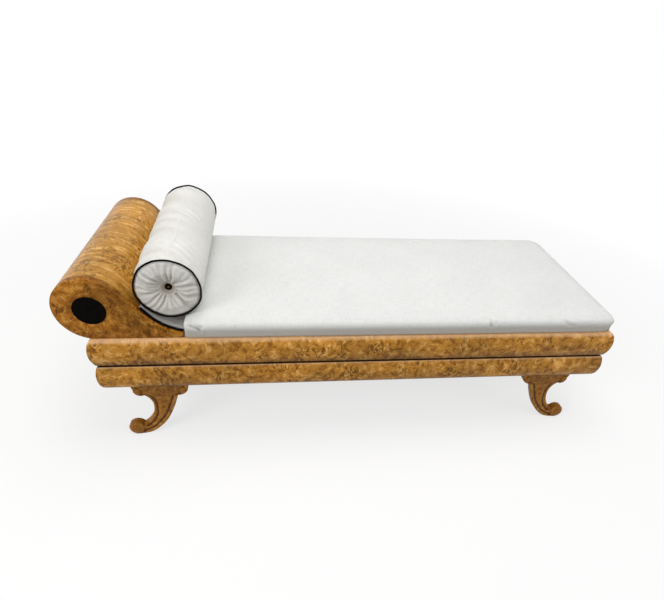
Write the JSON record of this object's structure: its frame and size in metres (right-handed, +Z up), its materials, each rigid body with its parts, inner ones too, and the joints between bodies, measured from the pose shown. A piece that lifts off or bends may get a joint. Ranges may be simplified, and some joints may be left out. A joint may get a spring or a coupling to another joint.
{
  "type": "recamier",
  "caption": "Low daybed with a scrolled head, two rounded rail tiers in burl veneer, carved scroll legs, a lift-off linen squab and a loose round bolster.",
  "frame": {"origin": "on the floor, under the middle of the bounding box", "axes": "+X from the scrolled head to the foot, +Y from the front to the back, +Z up"},
  "size_m": [1.835, 0.686, 0.7031],
  "materials": {
    "burl_veneer": "polished burl veneer",
    "carved_wood": "polished",
    "ebonised_wood": "ebonised, satin",
    "linen": "woven linen",
    "black_cord": "covered cord",
    "webbing": "jute webbing",
    "pine": "planed"
  },
  "bodies": {
    "carcass": {"bearer_foot": "pine", "bearer_head": "pine", "bearer_middle": "pine", "corner_blocks": "pine", "head_base_board": "pine", "head_cheek_back": "burl_veneer", "head_cheek_front": "burl_veneer", "head_formers": "pine", "head_pad": "linen", "head_pad_piping": "black_cord", "leg_back_foot": "carved_wood", "leg_back_head": "carved_wood", "leg_front_foot": "carved_wood", "leg_front_head": "carved_wood", "leg_tenons": "pine", "lower_rail_back": "burl_veneer", "lower_rail_foot": "burl_veneer", "lower_rail_front": "burl_veneer", "lower_rail_head": "burl_veneer", "roundels": "ebonised_wood", "scroll_skin": "burl_veneer", "upper_rail_back": "burl_veneer", "upper_rail_foot": "burl_veneer", "upper_rail_front": "burl_veneer", "upper_rail_head": "burl_veneer"},
    "squab": {"squab": "linen", "squab_frame_back": "pine", "squab_frame_bar_1": "pine", "squab_frame_bar_2": "pine", "squab_frame_foot": "pine", "squab_frame_front": "pine", "squab_frame_head": "pine", "squab_webbing_cross": "webbing", "squab_webbing_long": "webbing"},
    "bolster": {"bolster": "linen", "bolster_buttons": "black_cord", "bolster_piping": "black_cord"}
  },
  "joints": [
    {"name": "squab_lift", "type": "slide", "parent": "carcass", "child": "squab", "axis": [0, 0, 1], "range_m": [0, 0.4]},
    {"name": "bolster_lift", "type": "slide", "parent": "squab", "child": "bolster", "axis": [0, 0, 1], "range_m": [0, 0.4]}
  ]
}
